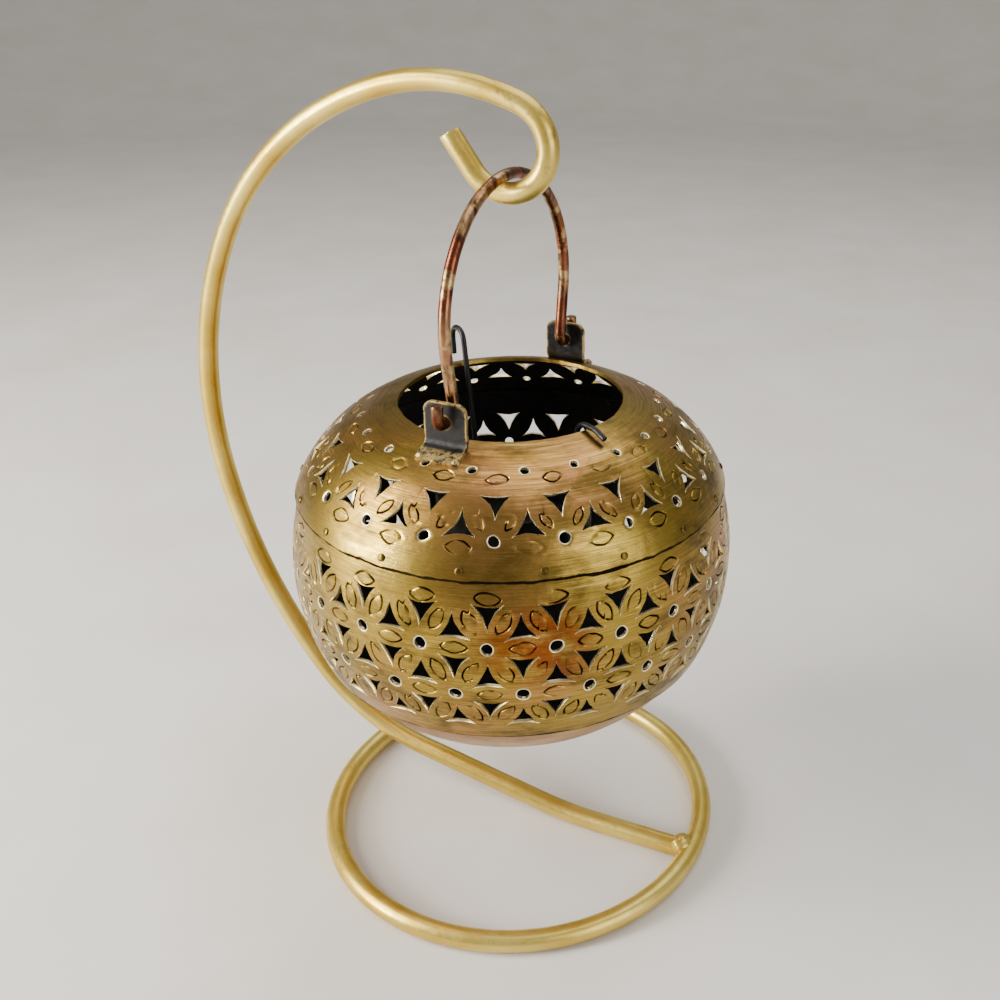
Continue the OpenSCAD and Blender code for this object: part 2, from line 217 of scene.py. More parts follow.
def sweep(path, binormal, radius, sides, closed=False, caps=(0.35, 0.35)):
    """A round bar along a flat path, with the binormal of the path's plane.

    Each ring is the path's point plus radius times (cos a * normal + sin a * binormal). An open
    end is closed by two smaller rings and a middle point; caps gives their rounding in mm.
    """
    path = np.asarray(path, float)
    count = len(path)
    radius = np.broadcast_to(np.asarray(radius, float), (count,)).copy()
    if closed:
        tangent = np.roll(path, -1, 0) - np.roll(path, 1, 0)
    else:
        tangent = np.gradient(path, axis=0)
    tangent /= np.linalg.norm(tangent, axis=1)[:, None]
    binormal = np.asarray(binormal, float)
    normal = np.cross(binormal, tangent)
    normal /= np.linalg.norm(normal, axis=1)[:, None]
    if not closed:
        before, after = [], []
        for rows, end, rounding, way in ((before, 0, caps[0], -tangent[0]),
                                         (after, -1, caps[1], tangent[-1])):
            for share in (0.7, 0.3):
                lean = (1 - share) * math.pi / 2
                rows.append((path[end] + way * rounding * math.sin(lean) * 0.9,
                             radius[end] - rounding * (1 - math.cos(lean)), normal[end]))
        ends = before[::-1], after
        path = np.vstack([[e[0] for e in ends[0]], path, [e[0] for e in ends[1]]])
        radius = np.concatenate([[e[1] for e in ends[0]], radius, [e[1] for e in ends[1]]])
        normal = np.vstack([[e[2] for e in ends[0]], normal, [e[2] for e in ends[1]]])
        count = len(path)
    angle = np.linspace(0, 2 * math.pi, sides, endpoint=False)
    ring = (np.cos(angle)[None, :, None] * normal[:, None]
            + np.sin(angle)[None, :, None] * binormal[None, None])
    points = (path[:, None] + radius[:, None, None] * ring).reshape(-1, 3)
    rows_used = count if closed else count - 1
    i = np.arange(rows_used)[:, None] * sides
    j = np.arange(sides)[None]
    k = (j + 1) % sides
    up = ((np.arange(rows_used)[:, None] + 1) % count) * sides
    quads = np.stack([i + j, up + j, up + k, i + k], -1).reshape(-1, 4)
    fans = np.zeros((0, 3), int)
    if not closed:
        first, last = len(points), len(points) + 1
        points = np.vstack([points, path[0], path[-1]])
        a, b = np.arange(sides), (np.arange(sides) + 1) % sides
        top = (count - 1) * sides
        fans = np.vstack([np.stack([np.full(sides, first), a, b], -1),
                          np.stack([np.full(sides, last), top + b, top + a], -1)])
    return points, quads, fans


def merge_parts(parts):
    """Joins (points, quads, triangles) parts into one set of arrays."""
    points, quads, fans, base = [], [], [], 0
    for p, q, t in parts:
        points.append(p)
        quads.append(q + base)
        fans.append(t + base)
        base += len(p)
    return np.vstack(points), np.vstack(quads), np.vstack(fans)


# ---------------------------------------------------------------- materials


def linear(code):
    """Scene-linear colour from an sRGB hex code."""
    parts = [int(code[i:i + 2], 16) / 255 for i in (1, 3, 5)]
    return [c / 12.92 if c <= 0.04045 else ((c + 0.055) / 1.055) ** 2.4 for c in parts] + [1.0]


def add(tree, kind, inputs=None, **settings):
    """Adds a shader node, sets its properties and links or sets its inputs."""
    node = tree.nodes.new(kind)
    for key, value in settings.items():
        setattr(node, key, value)
    for key, value in (inputs or {}).items():
        if isinstance(value, bpy.types.NodeSocket):
            tree.links.new(value, node.inputs[key])
        else:
            node.inputs[key].default_value = value
    return node


def surface(name, base, metallic, roughness):
    """An empty procedural material with its shader, and the object coordinates in mm."""
    material = bpy.data.materials.new(name)
    material.use_nodes = True
    tree = material.node_tree
    shader = tree.nodes["Principled BSDF"]
    shader.inputs["Base Color"].default_value = linear(base)
    shader.inputs["Metallic"].default_value = metallic
    shader.inputs["Roughness"].default_value = roughness
    coords = add(tree, "ShaderNodeTexCoord")
    mm = add(tree, "ShaderNodeVectorMath", {0: coords.outputs["Object"], 1: (1000, 1000, 1000)},
             operation="MULTIPLY")
    return material, tree, shader, mm.outputs[0]


def noise(tree, where, period, detail=3.0, rough=0.55, stretch=(1, 1, 1), distort=0.0):
    """Noise whose blotches are about period mm wide, stretched along the given axes."""
    scaled = add(tree, "ShaderNodeVectorMath", {0: where, 1: tuple(1 / (period * s) for s in stretch)},
                 operation="MULTIPLY")
    return add(tree, "ShaderNodeTexNoise",
               {"Vector": scaled.outputs[0], "Scale": 1.0, "Detail": detail, "Roughness": rough,
                "Distortion": distort}).outputs["Fac"]


def span(tree, value, low, high, to_low=0.0, to_high=1.0):
    """Maps low..high to to_low..to_high, clamped."""
    return add(tree, "ShaderNodeMapRange", {"Value": value, "From Min": low, "From Max": high,
                                            "To Min": to_low, "To Max": to_high}).outputs[0]


def mix(tree, share, a, b):
    """Mixes two colours, given as sRGB codes or sockets."""
    node = add(tree, "ShaderNodeMix", data_type="RGBA")
    for socket, value in ((node.inputs[0], share), (node.inputs[6], a), (node.inputs[7], b)):
        if isinstance(value, bpy.types.NodeSocket):
            tree.links.new(value, socket)
        else:
            socket.default_value = linear(value) if isinstance(value, str) else value
    return node.outputs[2]


def math_node(tree, kind, a, b=0.0):
    """One arithmetic step on values or sockets."""
    return add(tree, "ShaderNodeMath", {0: a, 1: b}, operation=kind).outputs[0]


def bump(tree, shader, height, distance, strength=1.0):
    """Lets a height pattern tilt the surface; distance is its depth in mm."""
    node = add(tree, "ShaderNodeBump", {"Height": height, "Distance": distance * MM,
                                        "Strength": strength})
    tree.links.new(node.outputs[0], shader.inputs["Normal"])


def point_value(tree, name):
    """A point attribute of the mesh."""
    return add(tree, "ShaderNodeAttribute", attribute_name=name).outputs["Fac"]


def gold_paint():
    """Satin gold paint on steel rod: even warm gold, soft brush grain, dark where worn."""
    material, tree, shader, mm = surface("GoldPaintedRod", "#C8A84B", 0.8, 0.34)
    broad = noise(tree, mm, 22, 3)
    fine = noise(tree, mm, 1.1, 4, 0.65)
    tone = mix(tree, span(tree, broad, 0.35, 0.68), "#C2A23F", "#DCC468")
    scuffs = span(tree, noise(tree, mm, 4.5, 5, 0.7), 0.54, 0.72, 0, 0.8)
    worn = math_node(tree, "MULTIPLY", point_value(tree, "worn"), scuffs)
    tone = mix(tree, worn, tone, "#5A4720")
    speck = span(tree, noise(tree, mm, 0.8, 2), 0.70, 0.76)
    tone = mix(tree, math_node(tree, "MULTIPLY", speck, 0.55), tone, "#6B5520")
    tree.links.new(tone, shader.inputs["Base Color"])
    tree.links.new(span(tree, fine, 0.3, 0.7, 0.27, 0.42), shader.inputs["Roughness"])
    bump(tree, shader, fine, 0.03, 0.5)
    return material


def spot(tree, mm, centre, sizes, soft=0.5):
    """1 inside an ellipsoid round centre (mm) with half axes sizes, falling to 0 outside it."""
    offset = add(tree, "ShaderNodeVectorMath", {0: mm, 1: centre}, operation="SUBTRACT")
    scaled = add(tree, "ShaderNodeVectorMath", {0: offset.outputs[0], 1: tuple(1 / v for v in sizes)},
                 operation="MULTIPLY")
    far = add(tree, "ShaderNodeVectorMath", {0: scaled.outputs[0]}, operation="LENGTH").outputs["Value"]
    return span(tree, far, 1 - soft, 1 + soft, 1, 0)


def level_band(tree, mm, low, high, soft):
    """1 between two heights in mm, wavering by about 0.3, fading over soft outside them."""
    z = add(tree, "ShaderNodeSeparateXYZ", {0: mm}).outputs["Z"]
    z = math_node(tree, "ADD", z, span(tree, noise(tree, mm, 7), 0.3, 0.7, -0.3, 0.3))
    return math_node(tree, "MULTIPLY", span(tree, z, low - soft, low), span(tree, z, high, high + soft, 1, 0))


def antique_brass():
    """Brushed antique brass: olive gold drifting to copper pink, level brush lines, dark
    patina in the chased grooves and pits, a painted shadow along the seams, a painted highlight
    along the cut edges, one red heat stain on the lower shell and a painted shadow below the front cup hook."""
    material, tree, shader, mm = surface("AntiqueBrass", "#B79A52", 1.0, 0.33)
    drift = noise(tree, mm, 40, 3, 0.55, distort=0.4)
    brush = noise(tree, mm, 1.0, 4, 0.7, stretch=(16, 16, 0.22))
    tone = mix(tree, span(tree, drift, 0.47, 0.68), "#A98D3C", "#B4824E")
    patch = noise(tree, mm, 9, 6, 0.66, stretch=(1.6, 1.6, 0.8))
    tone = mix(tree, span(tree, patch, 0.44, 0.64, 0, 0.8), tone, "#54431A")
    tone = mix(tree, span(tree, brush, 0.42, 0.70, 0.0, 0.7), tone, "#483611")
    tone = mix(tree, span(tree, brush, 0.42, 0.28, 0.0, 0.35), tone, "#DCC88C")
    ragged = noise(tree, mm, 5, 4, 0.6)
    heat = math_node(tree, "MULTIPLY", spot(tree, mm, (33.0, -51.0, 101.0), (13, 11, 10)),
                     span(tree, ragged, 0.36, 0.56))
    tone = mix(tree, math_node(tree, "MULTIPLY", heat, 0.8), tone, "#7C2F12")
    stain = noise(tree, mm, 21, 4, 0.6, distort=1.2)
    tone = mix(tree, span(tree, stain, 0.64, 0.76, 0, 0.7), tone, "#7A4426")
    # Painted shadow: a dark spot on the dome just below the front cup hook.
    run = math_node(tree, "MULTIPLY", spot(tree, mm, (33.6, -15.0, 135.5), (3.2, 1.6, 5.5)),
                    span(tree, ragged, 0.25, 0.5))
    tone = mix(tree, math_node(tree, "MULTIPLY", run, 0.8), tone, "#2A2110")
    low = level_band(tree, mm, 40.0, 69.0, 1.0)
    tone = mix(tree, math_node(tree, "MULTIPLY", low, 0.45), tone, "#C79B78")
    groove = point_value(tree, "groove")
    cut = point_value(tree, "cut")
    # Painted highlight: a pale bright line along the edges of the cut-outs, where the light catches them.
    tone = mix(tree, span(tree, cut, 0.10, 0.45), tone, "#F6E8BE")
    tone = mix(tree, span(tree, groove, 0.15, 0.75, 0, 0.96), tone, "#1C1508")
    # Painted shadow: a near-black band under the dome's lower edge and another along the lower shell's joint
    # with the dish.
    seam = math_node(tree, "MAXIMUM", level_band(tree, mm, 116.75, 118.0, 0.2),
                     level_band(tree, mm, 69.75, 70.55, 0.15))
    tone = mix(tree, math_node(tree, "MULTIPLY", seam, 0.96), tone, "#120E08")
    pit = span(tree, noise(tree, mm, 0.9, 3, 0.6), 0.68, 0.78)
    tone = mix(tree, math_node(tree, "MULTIPLY", pit, 0.6), tone, "#3A2D14")
    tree.links.new(tone, shader.inputs["Base Color"])
    rough = math_node(tree, "ADD", span(tree, brush, 0.3, 0.7, 0.20, 0.40),
                      span(tree, patch, 0.45, 0.75, 0.0, 0.2))
    tree.links.new(math_node(tree, "ADD", rough, math_node(tree, "MULTIPLY", seam, 0.4)),
                   shader.inputs["Roughness"])
    height = math_node(tree, "ADD", math_node(tree, "MULTIPLY", brush, 0.5),
                       math_node(tree, "MULTIPLY", noise(tree, mm, 2.6, 4, 0.6), 1.1))
    bump(tree, shader, height, 0.10, 0.6)
    return material


def soot():
    """Sooty lacquered inside of the globe: near black, dull."""
    material, tree, shader, mm = surface("SootyInside", "#17171A", 0.0, 0.8)
    grain = noise(tree, mm, 3.0, 4, 0.6)
    tree.links.new(mix(tree, span(tree, grain, 0.35, 0.7), "#121214", "#262322"), shader.inputs["Base Color"])
    shader.inputs["Specular IOR Level"].default_value = 0.25
    return material


def coppered_wire():
    """Heat-browned copper wire: rosy metal, brown streaks along it, paler worn spots."""
    material, tree, shader, mm = surface("CopperWire", "#B58058", 1.0, 0.3)
    streak = noise(tree, mm, 2.4, 4, 0.6, stretch=(1, 1, 5))
    broad = noise(tree, mm, 12, 3, 0.5)
    tone = mix(tree, span(tree, broad, 0.40, 0.58), "#A98560", "#7E4630")
    tone = mix(tree, span(tree, streak, 0.46, 0.64, 0, 0.9), tone, "#2E1A12")
    tone = mix(tree, span(tree, noise(tree, mm, 5, 4), 0.56, 0.66, 0, 0.75), tone, "#CDB078")
    tree.links.new(tone, shader.inputs["Base Color"])
    tree.links.new(span(tree, streak, 0.3, 0.75, 0.2, 0.48), shader.inputs["Roughness"])
    bump(tree, shader, streak, 0.05, 0.6)
    return material


def black_sheet():
    """Blackened sheet: brownish black, half gloss, brass showing at the rubbed edges."""
    material, tree, shader, mm = surface("BlackenedSheet", "#131110", 0.0, 0.4)
    grain = noise(tree, mm, 1.6, 4, 0.6)
    tone = mix(tree, span(tree, grain, 0.35, 0.7), "#070606", "#14110F")
    patches = span(tree, noise(tree, mm, 1.7, 4, 0.7), 0.40, 0.54)
    rub = math_node(tree, "MULTIPLY", point_value(tree, "cut"), patches)
    tone = mix(tree, rub, tone, "#C9AE6C")
    tree.links.new(tone, shader.inputs["Base Color"])
    tree.links.new(span(tree, rub, 0, 1, 0.05, 0.95), shader.inputs["Metallic"])
    tree.links.new(span(tree, grain, 0.3, 0.7, 0.3, 0.55), shader.inputs["Roughness"])
    shader.inputs["Specular IOR Level"].default_value = 0.35
    bump(tree, shader, grain, 0.12, 0.8)
    return material


def solder_metal():
    """Rough brazing metal: pale brass with soot in the hollows."""
    material, tree, shader, mm = surface("SolderBrass", "#B89C5C", 1.0, 0.42)
    lump = noise(tree, mm, 1.3, 5, 0.65)
    tone = mix(tree, span(tree, lump, 0.36, 0.6), "#3A2E1A", "#CDB577")
    tree.links.new(tone, shader.inputs["Base Color"])
    bump(tree, shader, lump, 0.25, 0.9)
    return material


def pale_floor():
    """Matt pale studio floor with a faint even grain."""
    material, tree, shader, mm = surface("PaleFloor", "#D9D5CE", 0.0, 0.7)
    grain = noise(tree, mm, 60, 4)
    tree.links.new(mix(tree, span(tree, grain, 0.3, 0.7), "#D6D1C9", "#DEDAD4"), shader.inputs["Base Color"])
    return material


MAKERS = {"gold": gold_paint, "brass": antique_brass, "soot": soot, "copper": coppered_wire,
          "black": black_sheet, "solder": solder_metal, "floor": pale_floor}
MADE = {}


def material_for(key):
    """Each material is made once and shared."""
    if key not in MADE:
        MADE[key] = MAKERS[key]()
    return MADE[key]


# ---------------------------------------------------------------- sheet patterns


def round_loop(x, y, radius, count, stretch):
    """A circle's points, counter-clockwise; stretch widens x to make up for the taper."""
    a = np.linspace(0, 2 * math.pi, count, endpoint=False)
    return np.stack([x + stretch * radius * np.cos(a), y + radius * np.sin(a)], -1)


def petal_gap_loop(x, y, corner, side, up, count, stretch):
    """A triangle whose three sides are arcs hollowed towards its middle, counter-clockwise.

    Each side is part of a circle of radius side through two corners that lie corner from the
    middle; its centre is at corner / 2 + sqrt(side^2 - (corner sin 60)^2).
    """
    half = corner * math.sin(math.pi / 3)
    reach = corner / 2 + math.sqrt(side * side - half * half)
    open_angle = math.asin(half / side)
    points = []
    for k in range(3):
        way = math.radians(120 * k + (30 if up else -30))
        a = way + math.pi + np.linspace(open_angle, -open_angle, count + 1)[:-1]
        points.append(np.stack([reach * math.cos(way) + side * np.cos(a),
                                reach * math.sin(way) + side * np.sin(a)], -1))
    points = np.vstack(points)
    size = np.linalg.norm(points, axis=1)
    points *= (np.minimum(size, corner * 0.98) / size)[:, None]
    return np.stack([x + stretch * points[:, 0], y + points[:, 1]], -1)


def petal_loop(x, y, length, width, turn, count, stretch):
    """A pointed oval: half width times (1 - t^2)^0.8 at t of the half length."""
    t = np.cos(np.linspace(0, math.pi, count // 2 + 1))
    w = width / 2 * (1 - t * t) ** 0.8
    line = np.vstack([np.stack([t * length / 2, w], -1), np.stack([t * length / 2, -w], -1)[-2:0:-1]])
    c, s = math.cos(math.radians(turn)), math.sin(math.radians(turn))
    line = line @ np.array([[c, s], [-s, c]])
    return np.stack([x + stretch * line[:, 0], y + line[:, 1]], -1)


def triangulate(width, low, high, step, cuts, rings, lines):
    """One tile of sheet from x 0 to width, cut out and scored, as a triangle mesh.

    cuts are closed loops whose inside is dropped; rings are closed loops kept as edges; lines
    are (loop, value, closed) kept as edges with a groove value. Returns the points, triangles,
    groove and cut values, and the vertex numbers of each cut, the rims and the side borders.
    """
    points, edges, faces, tags = [], [], [], []

    def put(loop, closed, groove=0.0, cut=0.0):
        start = len(points)
        points.extend((float(a), float(b)) for a, b in loop)
        tags.extend([(groove, cut)] * len(loop))
        index = list(range(start, len(points)))
        edges.extend(zip(index[:-1], index[1:]))
        if closed:
            edges.append((index[-1], index[0]))
        return index

    across = max(2, int(round(width / step)))
    upward = max(2, int(round((high - low) / step)))
    xs, ys = np.linspace(0, width, across + 1), np.linspace(low, high, upward + 1)
    frame_loop = np.vstack([np.stack([xs[:-1], np.full(across, low)], -1),
                            np.stack([np.full(upward, width), ys[:-1]], -1),
                            np.stack([xs[:0:-1], np.full(across, high)], -1),
                            np.stack([np.zeros(upward), ys[:0:-1]], -1)])
    put(frame_loop, True)
    cut_index = []
    for loop in cuts:
        index = put(loop, True, 0.0, 1.0)
        faces.append(index)
        cut_index.append(index)
    for loop in rings:
        put(loop, True)
    for loop, value, closed in lines:
        put(loop, closed, value)
    tree = kdtree.KDTree(len(points))
    for i, p in enumerate(points):
        tree.insert((p[0], p[1], 0), i)
    tree.balance()
    row = step * 0.866
    for j in range(1, int((high - low) / row) + 1):
        y = low + j * row
        for i in range(across + 1):
            x = (i + 0.5 * (j % 2)) * width / across
            if y < high - 0.3 * step and 0.1 < x < width - 0.1 and tree.find((x, y, 0))[2] > 0.42 * step:
                points.append((x, y))
                tags.append((0.0, 0.0))
    out, _, tris, origin, _, inside = geometry.delaunay_2d_cdt(
        [Vector(p) for p in points], edges, faces, 0, 1e-5, True)
    out = np.array([(v.x, v.y) for v in out])
    tris = np.array([t for t, f in zip(tris, inside) if not f], int)
    middle = out[tris].mean(1)
    eps = 1e-4
    tris = tris[(middle[:, 0] > -eps) & (middle[:, 0] < width + eps)
                & (middle[:, 1] > low - eps) & (middle[:, 1] < high + eps)]
    values = np.zeros((len(out), 2))
    seat = {}
    for new, olds in enumerate(origin):
        for old in olds:
            seat[old] = new
            values[new] = np.maximum(values[new], tags[old])
    used = np.unique(tris)
    number = np.full(len(out), -1)
    number[used] = np.arange(len(used))
    out, tris, values = out[used], number[tris], values[used]
    loops = [[int(number[seat[i]]) for i in index] for index in cut_index]

    def border(axis, level, other):
        on = np.where(np.abs(out[:, axis] - level) < eps)[0]
        return on[np.argsort(out[on, other])]

    sides = border(0, 0.0, 1), border(0, width, 1)
    rims = border(1, low, 0), border(1, high, 0)
    if len(sides[0]) != len(sides[1]):
        raise RuntimeError("the tile's two side borders don't match")
    return out, tris, values, loops, sides, rims


def wrap(tile, count):
    """Repeats a tile count times round the ring, sharing the side borders."""
    out, tris, values, loops, (left, right), rims = tile
    total = len(out)
    keep = np.ones(total, bool)
    keep[right] = False
    local = np.cumsum(keep) - 1
    size = int(keep.sum())
    number = np.zeros((count, total), int)
    for k in range(count):
        number[k] = local + k * size
        number[k, right] = local[left] + ((k + 1) % count) * size
    flat = np.vstack([out[keep]] * count)
    which = np.repeat(np.arange(count), size)
    marks = np.vstack([values[keep]] * count)
    return (flat, which, np.vstack([n[tris] for n in number]), marks,
            [[n[i] for i in loop] for n in number for loop in loops],
            [np.concatenate([n[r[:-1]] for n in number]) for r in rims])


def stitch(outer, inner, turn):
    """Quads between two equal closed rows of vertices; turn swaps their facing."""
    outer, inner = np.asarray(outer), np.asarray(inner)
    a, b = np.roll(outer, -1), np.roll(inner, -1)
    return np.stack([outer, inner, b, a] if turn else [outer, a, b, inner], -1)


def shell(name, arc, slopes, ref, count, phase, pattern, seed):
    """A pierced shell of revolution, made flat one pattern tile at a time and rolled up.

    A flat point (x, y) goes to azimuth x / ref and slope y / R on the arc (c, cz, R); its radius
    is c + (R + d) cos slope and its height cz + (R + d) sin slope. Inner skin: d = -sheet.
    """
    s = bpy.context.scene.lantern_shell
    centre, height, big = arc
    width = 2 * math.pi * ref / count
    low, high = (math.radians(a) * big for a in slopes)
    cuts, rings, lines = pattern(s, width)
    fine = wrap(triangulate(width, low, high, 1.05, cuts, rings, lines), count)
    flat_cuts = wrap(triangulate(width, low, high, 1.05, cuts, [], []), count)
    hand, sheet = s.hand / MM, s.sheet / MM
    start = math.radians(phase)

    def place(flat, which, depth):
        azimuth = start + (flat[:, 0] + which * width) / ref
        slope = flat[:, 1] / big

        def roll(az, sl, d):
            r = centre + (big + d) * np.cos(sl)
            return np.stack([r * np.cos(az), r * np.sin(az),
                             GLOBE_HEIGHT + height + (big + d) * np.sin(sl)], -1)

        rest = roll(azimuth, slope, 0)
        edge = np.minimum(1, np.minimum(flat[:, 1] - low, high - flat[:, 1]) / 3 + 0.45)
        across = hand * (1.3 * wobble(rest, 9, seed) + 0.4 * wobble(rest, 2.2, seed + 1))
        along = hand * (1.3 * wobble(rest, 9, seed + 2) + 0.4 * wobble(rest, 2.2, seed + 3)) * edge
        azimuth = azimuth + across / (centre + big * np.cos(slope))
        slope = slope + along / big
        lift = 0.07 * (wobble(rest, 17, seed + 4) - 1.1) + 0.012 * (wobble(rest, 2.6, seed + 5) - 1)
        return roll(azimuth, slope, depth + lift), rest

    groove, cut = fine[3][:, 0], fine[3][:, 1]
    _, rest = place(fine[0], fine[1], 0)
    fade = np.clip(0.75 + 0.75 * wobble(rest, 6.5, seed + 7), 0.0, 1.15)
    groove = groove * fade
    outer, _ = place(fine[0], fine[1], -groove * s.groove_depth / MM - 0.14 * cut)
    inner, _ = place(flat_cuts[0], flat_cuts[1], -sheet)
    base = len(outer)
    walls = [stitch(a, np.array(b) + base, False) for a, b in zip(fine[4], flat_cuts[4])]
    rims = [stitch(fine[5][0], flat_cuts[5][0] + base, True),
            stitch(fine[5][1], flat_cuts[5][1] + base, False)]
    zero = np.zeros(len(inner))
    return mesh_object(
        name, np.vstack([outer, inner]),
        [fine[2], flat_cuts[2][:, ::-1] + base, np.vstack(walls), np.vstack(rims)], "lantern",
        [material_for("brass"), material_for("soot")], [0, 1, 0, 0],
        {"groove": np.concatenate([groove, zero]),
         "cut": np.concatenate([cut, flat_cuts[3][:, 1] * 0.6])}, 32.0)


def scored_petal(lines, x, y, turn, stretch, length=6.4, wide=3.2):
    """Adds a petal outline: its middle line and both lips of the groove."""
    for grow, value in ((0.62, 0.0), (0.0, 1.0), (-0.62, 0.0)):
        lines.append((petal_loop(x, y, length + 1.5 * grow, wide + grow, turn, 26, stretch), value, True))


def bowl_pattern(s, width):
    """Two rings of six-petal flowers, half a step apart, with gaps between the petals."""
    cuts, rings, lines = [], [], []
    first, drop = FIRST_RING, RING_DROP
    corner, side = s.cut_corner / MM, s.petal_side / MM
    big = BOWL_ARC[2]
    spots = [(0.25, first), (0.75, first - drop)]
    for part, y in spots:
        stretch = 1 / math.cos(y / big)
        cuts.append(round_loop(part * width, y, 1.55, 22, stretch))
        rings.append(round_loop(part * width, y, 1.92, 22, stretch))
    for band in range(3):
        top = first + (1 - band) * drop
        for share, part, up in ((1 / 3, 0.25 + band / 2, False), (2 / 3, 0.75 + band / 2, True)):
            y = top - drop * share
            x = (part % 1.0) * width
            stretch = 1 / math.cos(y / big)
            cuts.append(petal_gap_loop(x, y, corner, side, up, 11, stretch))
            rings.append(petal_gap_loop(x, y, corner + 0.62, side - 0.3, up, 11, stretch))
    lean = math.degrees(math.atan2(drop, width / 2))
    for row, part in ((0, 0.25), (1, 0.75), (2, 0.25)):
        y = first + (1 - row) * drop
        stretch = 1 / math.cos(y / big)
        scored_petal(lines, (part % 1.0) * width, y - (0.9 if row == 0 else 0), 0, stretch)
    for row in range(3):
        y = first + (0.5 - row) * drop
        stretch = 1 / math.cos(y / big)
        rises = -lean if row % 2 else lean
        scored_petal(lines, 0.5 * width, y, rises, stretch)
        for x in (0.0, width):
            scored_petal(lines, x, y, -rises, stretch)
    return cuts, rings, lines


def dome_pattern(s, width):
    """A ring of flowers over the seam, arches of gaps, chased arcs and small collar holes."""
    cuts, rings, lines = [], [], []
    corner, side, big = s.cut_corner / MM, s.petal_side / MM, DOME_ARC[2]

    def at(angle):
        local = DOME_ARC[0] + big * math.cos(math.radians(angle))
        return math.radians(angle) * big, DOME_REACH / local, local

    for part, angle, radius in ((0.25, 36.3, 1.3), (0.75, 64.2, 1.1)):
        y, stretch, _ = at(angle)
        cuts.append(round_loop(part * width, y, radius, 22, stretch))
        rings.append(round_loop(part * width, y, radius + 0.36, 22, stretch))
    for part, angle, up in ((0.75, 41.0, True), (0.25, 50.7, False)):
        y, stretch, local = at(angle)
        room = local * math.sin(math.pi / s.dome_flowers) / (BOWL_ARC[2] * math.sin(math.pi / s.bowl_flowers))
        size = min(corner, corner * room)
        cuts.append(petal_gap_loop(part * width, y, size, side, up, 11, stretch))
        rings.append(petal_gap_loop(part * width, y, size + 0.62, side - 0.3, up, 11, stretch))
    y, stretch, _ = at(34.3)
    scored_petal(lines, 0.75 * width, y - 0.4, 0, stretch, 6.2, 3.2)
    y, stretch, _ = at(43.2)
    scored_petal(lines, 0.5 * width, y, 58, stretch, 4.7, 2.2)
    for x in (0.0, width):
        scored_petal(lines, x, y, -58, stretch, 4.7, 2.2)
    y, stretch, _ = at(60.3)
    scored_petal(lines, 0.25 * width, y, 0, stretch, 5.2, 2.9)
    return cuts, rings, lines


# ---------------------------------------------------------------- pieces


def rod_radius(points, seed):
    """Radius of a hand-worked bar: its size less a slow and a fine unevenness."""
    s = bpy.context.scene.lantern_stand
    deep = s.unevenness / MM
    uneven = 1.2 + 0.7 * wobble(points, 30, seed) + 0.5 * wobble(points, 5, seed + 1)
    return s.rod_radius / MM - deep * uneven


def build_stand():
    """Ring, hook rod and weld bead.

    Ring: r_ring (cos a, sin a), at a rod's radius over the table. Rod: the bend schedule traced
    in the XZ plane from the ring inwards, then up and over to the hook.
    """
    s = bpy.context.scene.lantern_stand
    ring_r, rod_r = s.ring_radius / MM, s.rod_radius / MM
    a = np.linspace(0, 2 * math.pi, 300, endpoint=False)
    path = np.stack([ring_r * np.cos(a), ring_r * np.sin(a), np.full(300, rod_r)], -1)
    p, q, _ = sweep(path, (0, 0, 1), rod_radius(path, 3), 40, closed=True)
    ring = mesh_object("BaseRing", p, [q], "stand", [material_for("gold")],
                       values={"worn": 0.25 * (p[:, 2] > 4)})
    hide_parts("base_ring")

    line = trace(ROD_BENDS, 1.4)
    path = np.stack([ring_r - rod_r - 0.3 - line[:, 0], np.zeros(len(line)), rod_r + line[:, 1]], -1)
    p, q, t = sweep(path, (0, 1, 0), rod_radius(path, 7), 40, caps=(0.2, 0.25))
    tip = path[-1]
    near = np.linalg.norm(p - tip, axis=1) < 3.3
    p[near] += (np.array([0.25, 0, -0.15]) * wobble(p[near], 1.9, 5)[:, None])
    hook = np.exp(-(np.linalg.norm(p - np.array([10.0, 0, HOOK_LOW + 24]), axis=1) / 17) ** 2)
    rod = mesh_object("HookRod", p, [q, t], "stand", [material_for("gold")],
                      values={"worn": np.clip(hook * 1.5, 0, 1)})
    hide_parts("hook_rod")

    ball, q, t = unit_ball(24, 48)
    lump = 3.8 * (0.93 + 0.05 * wobble(ball * 3.8, 2.6, 9) + 0.02 * wobble(ball * 3.8, 1.0, 10))
    p = ball * lump[:, None] + np.array([ring_r - rod_r, 0, 3.8])
    bead = mesh_object("WeldBead", p, [q, t], "stand", [material_for("gold")],
                       values={"worn": np.full(len(p), 0.5)})
    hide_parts("base_weld")


def ball_faces(rows, sides):
    """Quads between rows of a ball and the two fans at its poles."""
    i, j = np.arange(rows - 1)[:, None] * sides, np.arange(sides)[None]
    k = (j + 1) % sides
    q = np.stack([i + j, i + k, i + sides + k, i + sides + j], -1).reshape(-1, 4)
    a, b, low, high = np.arange(sides), (np.arange(sides) + 1) % sides, rows * sides, rows * sides + 1
    t = np.vstack([np.stack([np.full(sides, low), b, a], -1),
                   np.stack([np.full(sides, high), (rows - 1) * sides + a, (rows - 1) * sides + b], -1)])
    return q, t


def unit_ball(rows, sides):
    """A ball of radius 1: rows at even latitudes between the poles, then its two poles."""
    u = np.linspace(0, 2 * math.pi, sides, endpoint=False)
    v = np.linspace(-1, 1, rows + 2)[1:-1] * math.pi / 2
    ball = np.stack([np.outer(np.cos(v), np.cos(u)), np.outer(np.cos(v), np.sin(u)),
                     np.outer(np.sin(v), np.ones(sides))], -1).reshape(-1, 3)
    return (np.vstack([ball, [(0, 0, -1)], [(0, 0, 1)]]), *ball_faces(rows, sides))


